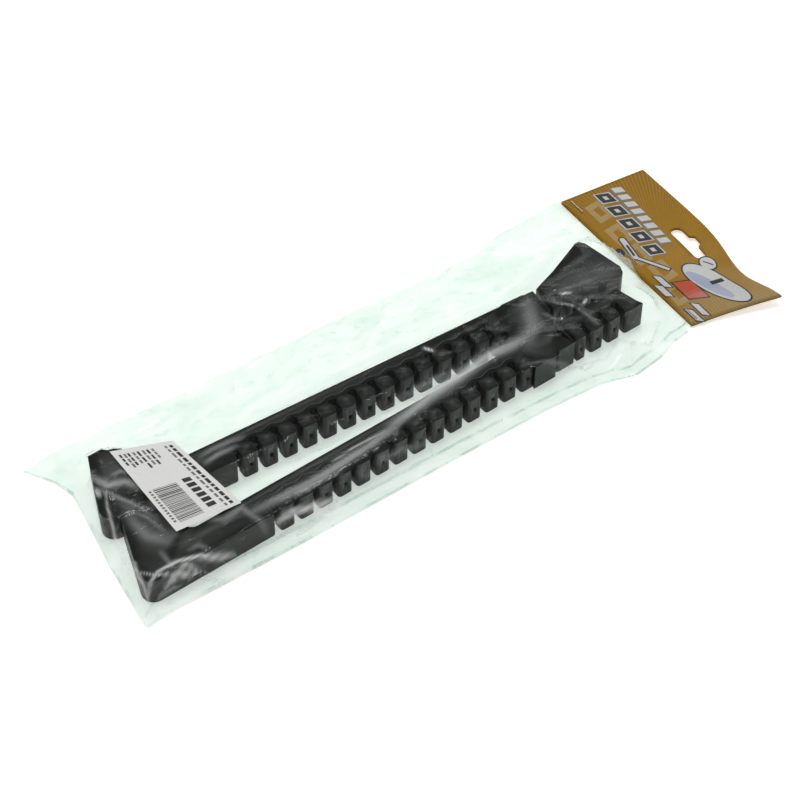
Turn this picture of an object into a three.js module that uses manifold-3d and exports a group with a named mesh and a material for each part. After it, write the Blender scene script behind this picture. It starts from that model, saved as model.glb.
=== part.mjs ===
import * as THREE from "three";
import { mergeVertices } from "three/addons/utils/BufferGeometryUtils.js";
import Module from "manifold-3d";

// A pair of adjustable ice-blade covers in a clear bag with a folded header card.
// Millimetres, +Z up. Both covers lie on their sides: s runs from toe to heel along
// a cover, h runs from its sole up to its blade slot, and z is its thickness.

// covers
const coverLength = 354.0;        // along the sole
const coverThickness = 18.7;
const channelHeight = 18.7;
const slotWidth = 5.2;            // groove that the skate blade drops into
const slotFloor = 6.0;            // height of the groove's floor above the sole
const toothPitch = 13.2;
const gapWidth = 3.6;             // gap between two tread blocks
const keyholeRadius = 2.7;        // round end of each gap
const keyholeTop = 11.3;          // top of the round end above the sole
const blockCorner = 1.9;          // rounding of the tread blocks' lower corners
const firstGap = 88.5;            // middle of the first gap, from the toe corner
const splitGap = 2.6;             // gap between the toe part and the heel part
const heelLength = 52.5;
const splitAt = coverLength - heelLength;  // end of the toe part

// toe horn
const hornHeight = 48.6;
const hornLean = 16.4;            // how far the horn leans back over its height
const hornTopWidth = 11.5;
const hornCorner = 2.6;
const hornTopFall = 0.6;          // the top drops this much to its front corner
const hornBulge = 13.6;           // how far the horn's back swells behind its top
const hollowRadius = 6.5;         // fillet between the horn's back and the slot edge
const toeRadius = 7.5;            // round corner between horn and sole
const hornWall = 5.0;             // wall left in front of the groove

// heel end with the raised wall, first cover
const heelTop = 37.6;
const heelRiseStart = splitAt + 3.2;  // where the slot edge starts to rise
const heelRiseKnee = splitAt + 19.5;
const heelKneeHeight = 25.5;
const heelRearTop = coverLength - 5.0;
const heelRearFoot = coverLength + 4.0;
const heelFootHeight = 7.2;
const heelWall = 4.5;

// plain heel end, second cover
const tailTopInset = 5.0;         // rake of the end face

// tongue that the heel part slides on
const tongueLength = 52.0;
const tongueHeight = 3.2;
const runningGap = 0.3;
const heelFloor = slotFloor + runningGap + tongueHeight;

// size clip round the end of the toe part
const clipProud = 2.0;            // stands out below the sole
const clipWall = 1.8;
const clipFootStart = splitAt - 31.5;
const clipFootEnd = splitAt - 15.5;
const clipTopStart = splitAt - 28.5;
const clipTopEnd = splitAt - 1.5;
const clipRise = 0.6;             // crown above the slot edge
const clipShoulder = 2.0;         // height of the bevel below the slot edge
const clipBevel = 6.0;            // length of the bevel along the cover

// places of the covers in the bag: toe corner, and turn about Z in degrees. They lie
// horn against sole at the toes and close up towards the heels.
const toeRoom = 2.0;
const heelRoom = 6.26;
const closing = THREE.MathUtils.radToDeg((hornHeight + toeRoom - channelHeight - heelRoom) / coverLength);
const closingShare = 0.578;       // share of the closing turn taken by cover 1
const cover2 = { x: -200.5, y: -45.0, turn: closing * (1 - closingShare) };
const cover1 = { x: cover2.x + 3.8, y: cover2.y + hornHeight + toeRoom, turn: -closing * closingShare };

// bag
const filmThickness = 0.35;
const upperFilmThickness = 0.5;   // measured straight up, so that its slopes keep a wall
const filmGap = 0.3;
const bagLeft = cover2.x - 8.5;
const bagRight = cover2.x + coverLength + 23.1;
const bagBack = cover1.y + hornHeight + 24.8;
const bagFront = cover2.y - 10.0;
const bagBackDrop = 4.0;          // the back edge comes in towards the card
const skirtRun = 9.0;             // run of the film's fall beside the covers
const heelTravel = 6.6;           // room kept in the bag for pulling a heel part out
const filmClearance = 1.2;        // the film's bend stands this far outside the covers

// header card, folded over the bag's mouth
const cardInner = bagRight + 0.6;
const cardDepth = 60.5;
const cardBack = bagBack - 3.5;
const cardFront = bagFront + 1.5;
const cardSkew = -6.5;            // the outer edge sits this much lower in Y
const cardThickness = 0.5;
const cardGap = 0.95;             // space between the two leaves
const cardLift = 0.9;             // room for the staples' clinched legs
const foldDepth = 0.6;            // material at the fold
const hangLength = 29.5;
const hangWidth = 8.0;
const hangBump = 3.0;
const hangBumpWidth = 10.0;
const hangBumpSlope = 1.8;
const hangEdge = 17.5;            // middle of the hang slot to the outer edge
const hangShare = 0.463;          // its place along the card, from the front edge
const mouthDepth = 24.0;

// staples
const stapleCrown = 12.0;
const stapleWire = 0.6;
const stapleHole = 1.2;
const stapleInset = 5.0;
const clinchFlat = 0.8;           // share of the wire left when it is pressed flat
const clinchReach = 0.38;         // share of the crown that each leg turns back
const stapleBack = 9.5;           // middle of the rear staple to the card's back edge
const stapleFront = 7.5;          // middle of the front staple to the card's front edge
const stapleMiddle = 0.485;       // place of the third along the card, from the front edge

// label on the bag
const labelWidth = 38.0;
const labelLength = 68.0;
const labelThickness = 0.2;
const labelX = cover2.x + 53.5;
const labelY = cover1.y + 0.9;
const labelTurn = -2.0;

const coverBase = filmThickness + filmGap;
const coverTop = coverBase + coverThickness;
const overallLeft = bagLeft;
const overallRight = cardInner + cardDepth;
const centreX = (overallLeft + overallRight) / 2;
const centreY = (bagBack + cardFront + cardSkew) / 2;
const stapleYs = [
  cardBack - stapleBack,
  cardFront + (cardBack - cardFront) * stapleMiddle,
  cardFront + stapleFront,
];

const wasm = await Module();
wasm.setup();

const black = { color: 0x2b2b29, roughness: 0.45, metalness: 0 };
const clear = { color: 0xdfe8e4, roughness: 0.1, metalness: 0, transparent: true, opacity: 0.3 };
const ochre = { color: 0xb07a26, roughness: 0.5, metalness: 0 };
const steel = { color: 0xb9bcc0, roughness: 0.25, metalness: 1 };
const paper = { color: 0xf2f2f0, roughness: 0.6, metalness: 0 };

function toSolid(geometry) {
  const bare = geometry.clone();
  bare.deleteAttribute("normal");
  bare.deleteAttribute("uv");
  const merged = mergeVertices(bare, 1e-4);
  return new wasm.Manifold(new wasm.Mesh({
    numProp: 3,
    vertProperties: new Float32Array(merged.attributes.position.array),
    triVerts: new Uint32Array(merged.index.array),
  }));
}

function toGeometry(solid) {
  const mesh = solid.getMesh();
  const geometry = new THREE.BufferGeometry();
  geometry.setAttribute("position", new THREE.BufferAttribute(new Float32Array(mesh.vertProperties), 3));
  geometry.setIndex(new THREE.BufferAttribute(new Uint32Array(mesh.triVerts), 1));
  geometry.computeVertexNormals();
  return geometry;
}

// extrude an outline of [a, b] points from z = low to z = high
function plate(points, low, high, holes = []) {
  const shape = new THREE.Shape(points.map(([a, b]) => new THREE.Vector2(a, b)));
  for (const hole of holes) {
    shape.holes.push(new THREE.Path(hole.map(([a, b]) => new THREE.Vector2(a, b))));
  }
  const geometry = new THREE.ExtrudeGeometry(shape, { depth: high - low, bevelEnabled: false });
  geometry.translate(0, 0, low);
  return geometry;
}

function block(low, high) {
  const geometry = new THREE.BoxGeometry(high[0] - low[0], high[1] - low[1], high[2] - low[2]);
  geometry.translate((low[0] + high[0]) / 2, (low[1] + high[1]) / 2, (low[2] + high[2]) / 2);
  return geometry;
}

function arc(centre, radius, from, to, steps) {
  const points = [];
  for (let i = 0; i <= steps; i++) {
    const angle = THREE.MathUtils.degToRad(from + (to - from) * i / steps);
    points.push([centre[0] + radius * Math.cos(angle), centre[1] + radius * Math.sin(angle)]);
  }
  return points;
}

// a point of the horn's swollen back, which is a quarter of an ellipse: 0 degrees is
// its foot and 90 degrees its top, and grow moves it outwards
function hornBack(degrees, grow = 0) {
  const angle = THREE.MathUtils.degToRad(degrees);
  const foot = channelHeight + hollowRadius;
  const rise = hornHeight - hornCorner - foot;
  return [
    hornLean + hornTopWidth + (hornBulge + grow) * Math.cos(angle),
    foot + (rise + grow) * Math.sin(angle),
  ];
}

// one gap between two tread blocks, walked from right to left seen from the sole:
// rounded block corner, straight neck, round end, neck, rounded block corner
function gapOutline(middle) {
  const half = gapWidth / 2;
  const neckAngle = THREE.MathUtils.radToDeg(Math.asin(half / keyholeRadius));
  const centre = [middle, keyholeTop - keyholeRadius];
  return [
    ...arc([middle - half - blockCorner, blockCorner], blockCorner, 270, 360, 3),
    ...arc(centre, keyholeRadius, 270 - neckAngle, neckAngle - 90, 9),
    ...arc([middle + half + blockCorner, blockCorner], blockCorner, 180, 270, 3),
  ];
}

function gapsBetween(low, high) {
  const margin = gapWidth / 2 + blockCorner + 0.5;
  const middles = [];
  for (let middle = firstGap; middle < high - margin; middle += toothPitch) {
    if (middle > low + margin) middles.push(middle);
  }
  return middles;
}

// sole line from left to right with its gaps
function soleLine(low, high) {
  return gapsBetween(low, high).flatMap(gapOutline);
}

// side view of the toe part: round toe corner, sole with its gaps, slot edge,
// fillet, leaning horn with a swollen back
function toeOutline() {
  const lean = THREE.MathUtils.radToDeg(Math.atan2(hornHeight, hornLean));
  const toeCentre = [toeRadius / Math.tan(THREE.MathUtils.degToRad(lean / 2)), toeRadius];
  const inner = hornLean + hornTopWidth;
  const filletCentre = [inner + hornBulge + hollowRadius, channelHeight + hollowRadius];
  return [
    ...arc(toeCentre, toeRadius, 90 + lean, 270, 6),
    ...soleLine(toeCentre[0], splitAt),
    [splitAt, 0],
    [splitAt, channelHeight],
    ...arc(filletCentre, hollowRadius, 270, 195, 5),
    ...[0, 15, 30, 45, 60, 75, 90].map((degrees) => hornBack(degrees)),
    [inner - hornCorner, hornHeight],
    [hornLean, hornHeight - hornTopFall],
  ];
}

// groove for the blade, cut from the slot side
function grooveCut(frontWall, rearEnd) {
  const slope = hornLean / hornHeight;
  const low = (coverThickness - slotWidth) / 2;
  const top = 60;
  return plate([
    [frontWall + slope * slotFloor, slotFloor],
    [rearEnd, slotFloor],
    [rearEnd, top],
    [frontWall + slope * top, top],
  ], low, low + slotWidth);
}

function clipOutline(grow) {
  return [
    [clipFootStart - grow, -clipProud - grow],
    [clipFootEnd + grow, -clipProud - grow],
    [clipTopEnd + grow, channelHeight - clipShoulder],
    [clipTopEnd - clipBevel + grow, channelHeight + clipRise + grow],
    [clipTopStart + clipBevel - grow, channelHeight + clipRise + grow],
    [clipTopStart - grow, channelHeight - clipShoulder],
  ];
}

function toePart() {
  let solid = toSolid(plate(toeOutline(), 0, coverThickness));
  const frontWall = hornWall * Math.hypot(hornLean, hornHeight) / hornHeight;
  solid = solid.subtract(toSolid(grooveCut(frontWall, coverLength)));
  const recess = clipWall + runningGap;
  solid = solid.subtract(toSolid(plate(clipOutline(runningGap), -1, recess)));
  solid = solid.subtract(toSolid(plate(clipOutline(runningGap), coverThickness - recess, coverThickness + 1)));
  return toGeometry(solid);
}

function sizeClip() {
  const inside = block(
    [clipFootStart - 20, -runningGap, clipWall],
    [clipTopEnd + 20, channelHeight + 10, coverThickness - clipWall],
  );
  return toGeometry(toSolid(plate(clipOutline(0), 0, coverThickness)).subtract(toSolid(inside)));
}

function tongue(heelStart) {
  const low = (coverThickness - slotWidth) / 2 + runningGap;
  return block(
    [heelStart - tongueLength, slotFloor + runningGap, low],
    [heelStart + 1, heelFloor, coverThickness - low],
  );
}

function raisedHeelPart() {
  const start = splitAt + splitGap;
  const outline = [
    [start, 0],
    ...soleLine(start, heelRearFoot - 4),
    [heelRearFoot - 4.5, 0],
    [heelRearFoot - 1.5, 2.2],
    [heelRearFoot, heelFootHeight],
    [heelRearTop + 2.5, heelTop - 3],
    [heelRearTop, heelTop],
    [heelRearTop - 3, heelTop],
    [heelRiseKnee, heelKneeHeight],
    [heelRiseStart + 3, channelHeight + 1.6],
    [start, channelHeight],
  ];
  const low = (coverThickness - slotWidth) / 2;
  const cup = plate([
    [start - 1, heelFloor],
    [heelRearFoot - heelWall, heelFloor],
    [heelRearTop - heelWall, heelTop],
    [heelRearTop - heelWall, heelTop + 5],
    [start - 1, heelTop + 5],
  ], low, low + slotWidth);
  return toGeometry(toSolid(plate(outline, 0, coverThickness)).subtract(toSolid(cup))
    .add(toSolid(tongue(start))));
}

function plainHeelPart() {
  const start = splitAt + splitGap;
  const outline = [
    [start, 0],
    ...soleLine(start, coverLength),
    [coverLength, 0],
    [coverLength - 1.6, 3.8],
    [coverLength - tailTopInset, channelHeight],
    [start, channelHeight],
  ];
  const low = (coverThickness - slotWidth) / 2;
  const groove = plate([
    [start - 1, heelFloor],
    [coverLength - tailTopInset - heelWall, heelFloor],
    [coverLength - tailTopInset - heelWall, channelHeight + 1],
    [start - 1, channelHeight + 1],
  ], low, low + slotWidth);
  return toGeometry(toSolid(plate(outline, 0, coverThickness)).subtract(toSolid(groove))
    .add(toSolid(tongue(start))));
}

// a point of a cover's side view as it lies in the bag
function placed(cover, [s, h]) {
  const turn = THREE.MathUtils.degToRad(cover.turn);
  return [
    cover.x + s * Math.cos(turn) - h * Math.sin(turn),
    cover.y + s * Math.sin(turn) + h * Math.cos(turn),
  ];
}

function bagBackAt(x) {
  return bagBack - bagBackDrop * (x - bagLeft) / (bagRight - bagLeft);
}

function lowerFilm() {
  return plate([
    [bagLeft, bagFront], [bagRight, bagFront],
    [bagRight, bagBackAt(bagRight)], [bagLeft, bagBack],
  ], 0, filmThickness);
}

// The upper film: flat over both covers, falling beside them, flat again to the bag's
// edges. Each row is a point on the covers' envelope and its point on the bag's edge.
function filmRows() {
  const toEdge = (point, edge) => ({ point, edge });
  const frontOf = (s) => {
    const point = placed(cover2, [s, -clipProud - filmClearance]);
    return toEdge(point, [point[0], bagFront]);
  };
  const backOf = (s, h) => {
    const point = placed(cover1, [s, h + filmClearance]);
    return toEdge(point, [point[0], bagBackAt(point[0])]);
  };
  const leftOf = (cover, s, h) => {
    const point = placed(cover, [s - filmClearance, h]);
    return toEdge(point, [bagLeft, point[1]]);
  };
  const rightOf = (cover, s, h) => {
    const point = placed(cover, [s + heelTravel + filmClearance, h]);
    return toEdge(point, [bagRight, point[1]]);
  };
  const corner = (cover, s, h, x, y) => toEdge(placed(cover, [s, h]), [x, y]);
  const outward = heelTravel + filmClearance;
  return [
    corner(cover2, -0.5, -2.2, bagLeft, bagFront),
    frontOf(8), ...[1, 2, 3, 4, 5].map((i) => frontOf(coverLength * i / 6)), frontOf(coverLength - 8),
    corner(cover2, coverLength + outward, -3.0, bagRight, bagFront),
    rightOf(cover2, coverLength, 6),
    rightOf(cover1, heelRearFoot, 0),
    rightOf(cover1, heelRearFoot, heelFootHeight + 4),
    rightOf(cover1, heelRearTop + 2.5, heelTop - 3),
    corner(cover1, heelRearTop + outward, heelTop + 1, bagRight, bagBackAt(bagRight)),
    backOf(heelRearTop - 4, heelTop),
    backOf(heelRiseKnee + 1, heelKneeHeight + 1.5),
    backOf(heelRiseStart - 6, channelHeight + 1),
    ...[0.8, 0.6, 0.4].map((share) => backOf(splitAt * share, channelHeight)),
    backOf(hornLean + hornTopWidth + hornBulge + 30, channelHeight + 1),
    ...[0, 30, 60].map((degrees) => backOf(...hornBack(degrees, 1.5))),
    backOf(hornLean + hornTopWidth + 2, hornHeight - 2),
    backOf(hornLean + 5, hornHeight),
    corner(cover1, hornLean - 1.5, hornHeight + 1, bagLeft, bagBack),
    leftOf(cover1, hornLean * 0.75, hornHeight * 0.75),
    leftOf(cover1, hornLean * 0.35, hornHeight * 0.35),
    leftOf(cover1, -0.5, 4),
    leftOf(cover2, hornLean * 0.7, hornHeight * 0.7),
    leftOf(cover2, hornLean * 0.3, hornHeight * 0.3),
  ];
}

function upperFilm() {
  const rows = filmRows();
  const top = coverTop + filmGap;
  const foot = filmThickness + filmGap;
  const rings = [
    rows.map(({ point }) => [...point, top]),
    rows.map(({ point, edge }) => {
      const run = Math.hypot(edge[0] - point[0], edge[1] - point[1]);
      const share = Math.min(0.8, skirtRun / run);
      return [
        point[0] + (edge[0] - point[0]) * share,
        point[1] + (edge[1] - point[1]) * share,
        foot,
      ];
    }),
    rows.map(({ edge }) => [...edge, foot]),
  ];
  const count = rows.length;
  const positions = [];
  const index = [];
  for (const lift of [0, upperFilmThickness]) {
    for (const ring of rings) {
      for (const [x, y, z] of ring) positions.push(x, y, z + lift);
    }
  }
  const layer = rings.length * count;
  const cap = THREE.ShapeUtils.triangulateShape(rows.map(({ point }) => new THREE.Vector2(...point)), []);
  for (const [a, b, c] of cap) {
    index.push(a + layer, b + layer, c + layer, c, b, a);
  }
  const quad = (a, b, c, d) => index.push(a, b, c, a, c, d);
  for (let i = 0; i < count; i++) {
    const next = (i + 1) % count;
    for (let r = 0; r + 1 < rings.length; r++) {
      const inner = r * count;
      const outer = inner + count;
      quad(layer + outer + i, layer + outer + next, layer + inner + next, layer + inner + i);
      quad(outer + i, inner + i, inner + next, outer + next);
    }
    const rim = (rings.length - 1) * count;
    quad(rim + i, rim + next, layer + rim + next, layer + rim + i);
  }
  const geometry = new THREE.BufferGeometry();
  geometry.setAttribute("position", new THREE.BufferAttribute(new Float32Array(positions), 3));
  geometry.setIndex(index);
  geometry.computeVertexNormals();
  return geometry;
}

function cardPoint(x, share) {
  const drop = cardSkew * (x - cardInner) / cardDepth;
  return [x, cardFront + drop + (cardBack - cardFront) * share];
}

function cardLeaf(inner, outer) {
  return [cardPoint(inner, 0), cardPoint(outer, 0), cardPoint(outer, 1), cardPoint(inner, 1)];
}

function hangSlot() {
  const x = cardInner + cardDepth - hangEdge;
  const y = cardPoint(x, hangShare)[1];
  const round = hangWidth / 2;
  const reach = hangLength / 2 - hangWidth / 2;
  const bump = hangBumpWidth / 2;
  return [
    ...arc([x, y - reach], round, 180, 360, 8),
    [x + round, y - bump],
    [x + round + hangBump, y - bump + hangBumpSlope],
    [x + round + hangBump, y + bump - hangBumpSlope],
    [x + round, y + bump],
    ...arc([x, y + reach], round, 0, 180, 8),
  ];
}

function stapleHoles() {
  const half = stapleHole / 2;
  const x = cardInner + stapleInset;
  return stapleYs.flatMap((y) => [-1, 1].map((side) => {
    const leg = y + side * (stapleCrown - stapleWire) / 2;
    return [[x - half, leg - half], [x + half, leg - half], [x + half, leg + half], [x - half, leg + half]];
  }));
}

function headerCard() {
  const outer = cardInner + cardDepth;
  const holes = [hangSlot(), ...stapleHoles()];
  const lowLeaf = cardLift;
  const highLeaf = cardLift + cardThickness + cardGap;
  const leaf = (z) => toSolid(plate(cardLeaf(cardInner, outer), z, z + cardThickness, holes));
  const fold = toSolid(plate(cardLeaf(outer - foldDepth, outer), lowLeaf, highLeaf + cardThickness));
  return toGeometry(leaf(lowLeaf).add(leaf(highLeaf)).add(fold));
}

function bagMouth() {
  const low = cardLift + cardThickness + (cardGap - filmThickness) / 2;
  const outline = [
    [cardInner + 0.2, cardFront + 1.5], [cardInner + mouthDepth, cardFront - 0.5],
    [cardInner + mouthDepth, cardBack - 5], [cardInner + 0.2, cardBack - 1.5],
  ];
  return plate(outline, low, low + filmThickness, stapleHoles());
}

function staple(y) {
  const half = stapleWire / 2;
  const crownLow = cardLift + 2 * cardThickness + cardGap + runningGap;
  const crownHigh = crownLow + stapleWire;
  const clinchHigh = cardLift - runningGap;
  const clinchLow = clinchHigh - stapleWire * clinchFlat;
  const left = y - stapleCrown / 2;
  const right = y + stapleCrown / 2;
  const clinch = stapleCrown * clinchReach;
  const outline = [
    [left, crownHigh], [left, clinchLow], [left + clinch, clinchLow], [left + clinch, clinchHigh],
    [left + stapleWire, clinchHigh], [left + stapleWire, crownLow],
    [right - stapleWire, crownLow], [right - stapleWire, clinchHigh],
    [right - clinch, clinchHigh], [right - clinch, clinchLow], [right, clinchLow], [right, crownHigh],
  ];
  const geometry = plate(outline, -half, half);
  // the outline is drawn in Y and Z: turn it up and across X
  geometry.applyMatrix4(new THREE.Matrix4().set(
    0, 0, 1, cardInner + stapleInset,
    1, 0, 0, 0,
    0, 1, 0, 0,
    0, 0, 0, 1,
  ));
  return geometry;
}

function label() {
  const half = [labelWidth / 2, labelLength / 2];
  return plate([[-half[0], -half[1]], [half[0], -half[1]], [half[0], half[1]], [-half[0], half[1]]],
    0, labelThickness);
}

const pack = new THREE.Group();
pack.position.set(-centreX, -centreY, 0);

function place(name, geometry, look, parent = pack) {
  const mesh = new THREE.Mesh(geometry, new THREE.MeshStandardMaterial(look));
  mesh.name = name;
  parent.add(mesh);
  return mesh;
}

function placeCover(number, cover, heel) {
  const group = new THREE.Group();
  group.position.set(cover.x, cover.y, coverBase);
  group.rotation.z = THREE.MathUtils.degToRad(cover.turn);
  place(`toe_part_${number}`, toePart(), black, group);
  place(`size_clip_${number}`, sizeClip(), black, group);
  place(`heel_part_${number}`, heel, black, group);
  pack.add(group);
}

placeCover(1, cover1, raisedHeelPart());
placeCover(2, cover2, plainHeelPart());
place("bag_lower_film", lowerFilm(), clear);
place("bag_upper_film", upperFilm(), clear);
place("bag_mouth", bagMouth(), clear);
place("header_card", headerCard(), ochre);
stapleYs.forEach((y, i) => place(`staple_${i + 1}`, staple(y), steel));
const sticker = place("label", label(), paper);
sticker.position.set(labelX, labelY, coverTop + filmGap + upperFilmThickness + filmGap);
sticker.rotation.z = THREE.MathUtils.degToRad(labelTurn);

export default pack;
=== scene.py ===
import math

import bmesh
import bpy
import numpy as np
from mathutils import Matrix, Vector


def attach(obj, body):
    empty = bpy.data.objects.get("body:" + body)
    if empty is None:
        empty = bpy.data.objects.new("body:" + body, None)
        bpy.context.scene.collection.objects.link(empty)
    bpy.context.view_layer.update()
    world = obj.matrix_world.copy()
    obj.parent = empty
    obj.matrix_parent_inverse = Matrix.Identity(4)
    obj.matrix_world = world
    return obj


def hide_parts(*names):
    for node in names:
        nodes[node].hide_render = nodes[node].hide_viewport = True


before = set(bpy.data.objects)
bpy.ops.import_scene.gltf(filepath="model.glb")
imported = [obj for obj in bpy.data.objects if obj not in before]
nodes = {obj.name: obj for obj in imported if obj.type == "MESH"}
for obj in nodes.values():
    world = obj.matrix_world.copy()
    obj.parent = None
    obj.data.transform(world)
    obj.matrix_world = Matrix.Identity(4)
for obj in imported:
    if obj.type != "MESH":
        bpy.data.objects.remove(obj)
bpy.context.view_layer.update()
scene = bpy.context.scene
mm = 0.001


def hexColour(code):
    # sRGB hex to linear
    parts = [int(code[i:i + 2], 16) / 255 for i in (1, 3, 5)]
    return [p / 12.92 if p <= 0.04045 else ((p + 0.055) / 1.055) ** 2.4 for p in parts] + [1.0]


def addNode(tree, kind, settings=None, links=None):
    # settings: attributes by name, inputs by socket name or number; links: input socket -> output socket
    node = tree.nodes.new(kind)
    for key, value in (settings or {}).items():
        if isinstance(key, str) and hasattr(node, key):
            setattr(node, key, value)
        else:
            node.inputs[key].default_value = value
    for key, source in (links or {}).items():
        tree.links.new(source, node.inputs[key])
    return node


def newMaterial(name):
    material = bpy.data.materials.new(name)
    material.use_nodes = True
    tree = material.node_tree
    tree.nodes.clear()
    out = tree.nodes.new("ShaderNodeOutputMaterial")
    return material, tree, out


def meshPiece(name, bm, material, body, smooth=None):
    mesh = bpy.data.meshes.new(name)
    for face in bm.faces:
        face.smooth = smooth is not None
    bm.to_mesh(mesh)
    bm.free()
    if smooth is not None:
        mesh.set_sharp_from_angle(angle=math.radians(smooth))
    piece = bpy.data.objects.new(name, mesh)
    scene.collection.objects.link(piece)
    mesh.materials.append(material)
    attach(piece, body)
    return piece


def faceUp(bm):
    for face in bm.faces:
        if face.normal.z < 0:
            face.normal_flip()


def inside(polygon, x, y):
    # ray casting for arrays of points
    hit = np.zeros(x.shape, bool)
    for (ax, ay), (bx, by) in zip(polygon, polygon[1:] + polygon[:1]):
        if ay == by:
            continue
        crosses = (ay > y) != (by > y)
        hit ^= crosses & (x < (bx - ax) * (y - ay) / (by - ay) + ax)
    return hit


def alongLine(points, share):
    # point at a share of a polyline's length, for an array of shares
    p = np.array(points, float)
    steps = np.r_[0, np.cumsum(np.hypot(*np.diff(p, axis=0).T))]
    t = np.asarray(share) * steps[-1]
    return np.stack([np.interp(t, steps, p[:, 0]), np.interp(t, steps, p[:, 1])], -1)


def coverPlastic(name, low, high):
    # black polyethylene, injection moulded: satin, with the fine spark-eroded grain of its mould
    material, tree, out = newMaterial(name)
    place = addNode(tree, "ShaderNodeTexCoord")
    grain = addNode(tree, "ShaderNodeTexNoise", {"Scale": 1400.0, "Detail": 3.0},
                    {"Vector": place.outputs["Object"]})
    cloud = addNode(tree, "ShaderNodeTexNoise", {"Scale": 60.0, "Detail": 4.0},
                    {"Vector": place.outputs["Object"]})
    colour = addNode(tree, "ShaderNodeValToRGB", links={"Fac": cloud.outputs["Fac"]})
    colour.color_ramp.elements[0].position = 0.35
    colour.color_ramp.elements[0].color = hexColour(low)
    colour.color_ramp.elements[1].position = 0.7
    colour.color_ramp.elements[1].color = hexColour(high)
    rough = addNode(tree, "ShaderNodeMapRange", {"To Min": 0.34, "To Max": 0.52},
                    {"Value": cloud.outputs["Fac"]})
    bump = addNode(tree, "ShaderNodeBump", {"Strength": 0.12, "Distance": 0.0003},
                   {"Height": grain.outputs["Fac"]})
    plastic = addNode(tree, "ShaderNodeBsdfPrincipled", {"IOR": 1.5, "Specular IOR Level": 0.38}, {
        "Base Color": colour.outputs["Color"], "Roughness": rough.outputs["Result"],
        "Normal": bump.outputs["Normal"]})
    tree.links.new(plastic.outputs["BSDF"], out.inputs["Surface"])
    return material


def clearFilm(name, tint, line, shine, crumple, milk, marked=False):
    # cast polypropylene film, clear and glossy: nearly all light goes through, and it mirrors at a glance
    material, tree, out = newMaterial(name)
    place = addNode(tree, "ShaderNodeTexCoord")
    stretch = addNode(tree, "ShaderNodeMapping", {"Scale": (1.0, 2.2, 1.0), "Rotation": (0.0, 0.0, 0.3)},
                      {"Vector": place.outputs["Object"]})
    broad = addNode(tree, "ShaderNodeTexNoise", {
        "Scale": 26.0, "Detail": 3.0, "Roughness": 0.55, "Distortion": 1.2
    }, {"Vector": stretch.outputs["Vector"]})
    fine = addNode(tree, "ShaderNodeTexNoise", {"Scale": 95.0, "Detail": 2.0, "Distortion": 0.8},
                   {"Vector": stretch.outputs["Vector"]})
    height = addNode(tree, "ShaderNodeMath", {"operation": "MULTIPLY_ADD", 1: 0.22},
                     {0: fine.outputs["Fac"], 2: broad.outputs["Fac"]})
    bump = addNode(tree, "ShaderNodeBump", {"Strength": crumple, "Distance": 0.004},
                   {"Height": height.outputs["Value"]})
    edgeOn = addNode(tree, "ShaderNodeLayerWeight", {"Blend": 0.5}, {"Normal": bump.outputs["Normal"]})
    steep = addNode(tree, "ShaderNodeMath", {"operation": "POWER", 1: 5.0}, {0: edgeOn.outputs["Facing"]})
    mirror = addNode(tree, "ShaderNodeMath", {"operation": "MULTIPLY_ADD", 1: 0.75, 2: shine},
                     {0: steep.outputs["Value"]})
    # painted shade along creases: thin lines where a ridged noise is near its middle, mixed towards the
    # darker line colour in what the film lets through
    wrinkle = addNode(tree, "ShaderNodeTexNoise", {
        "Scale": 34.0, "Detail": 2.0, "Roughness": 0.5, "Distortion": 2.4
    }, {"Vector": stretch.outputs["Vector"]})
    middle = addNode(tree, "ShaderNodeMath", {"operation": "SUBTRACT", 1: 0.5}, {0: wrinkle.outputs["Fac"]})
    level = addNode(tree, "ShaderNodeMath", {"operation": "ABSOLUTE"}, {0: middle.outputs["Value"]})
    paintedCreaseShade = addNode(tree, "ShaderNodeMapRange", {
        "From Min": 0.0, "From Max": 0.015, "To Min": 0.6, "To Max": 0.0}, {"Value": level.outputs["Value"]})
    cloud = addNode(tree, "ShaderNodeMapRange", {"From Min": 0.35, "From Max": 0.68},
                    {"Value": broad.outputs["Fac"]})
    clear = addNode(tree, "ShaderNodeMix", {"data_type": "RGBA", 6: hexColour("#f8fbf9"), 7: hexColour(tint)},
                    {0: cloud.outputs["Result"]})
    tintWithPaintedCreaseShade = addNode(tree, "ShaderNodeMix", {"data_type": "RGBA", 7: hexColour(line)},
                      {0: paintedCreaseShade.outputs["Result"], 6: clear.outputs[2]})
    through = addNode(tree, "ShaderNodeBsdfTransparent", links={"Color": tintWithPaintedCreaseShade.outputs[2]})
    haze = addNode(tree, "ShaderNodeBsdfDiffuse", {"Color": (0.9, 0.93, 0.92, 1.0)})
    gloss = addNode(tree, "ShaderNodeBsdfGlossy", {"Roughness": 0.14, "Color": (1.0, 1.0, 1.0, 1.0)},
                    {"Normal": bump.outputs["Normal"]})
    hazeAndPaintedSheen = addNode(tree, "ShaderNodeMixShader", {"Fac": milk},
                   {1: through.outputs["BSDF"], 2: haze.outputs["BSDF"]})
    film = addNode(tree, "ShaderNodeMixShader", links={
        "Fac": mirror.outputs["Value"], 1: hazeAndPaintedSheen.outputs["Shader"], 2: gloss.outputs["BSDF"]})
    surface = film.outputs["Shader"]
    if marked:   # painted sheen and painted glints, matt grey and white, at each place from the mesh
        for mark, colour in (("hazeAndPaintedSheen", (0.60, 0.63, 0.62, 1.0)), ("paintedGlint", (0.97, 0.98, 0.97, 1.0))):
            share = addNode(tree, "ShaderNodeAttribute", {"attribute_name": mark})
            matt = addNode(tree, "ShaderNodeBsdfDiffuse", {"Color": colour})
            surface = addNode(tree, "ShaderNodeMixShader", links={
                "Fac": share.outputs["Fac"], 1: surface, 2: matt.outputs["BSDF"]}).outputs["Shader"]
    tree.links.new(surface, out.inputs["Surface"])
    return material


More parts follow.
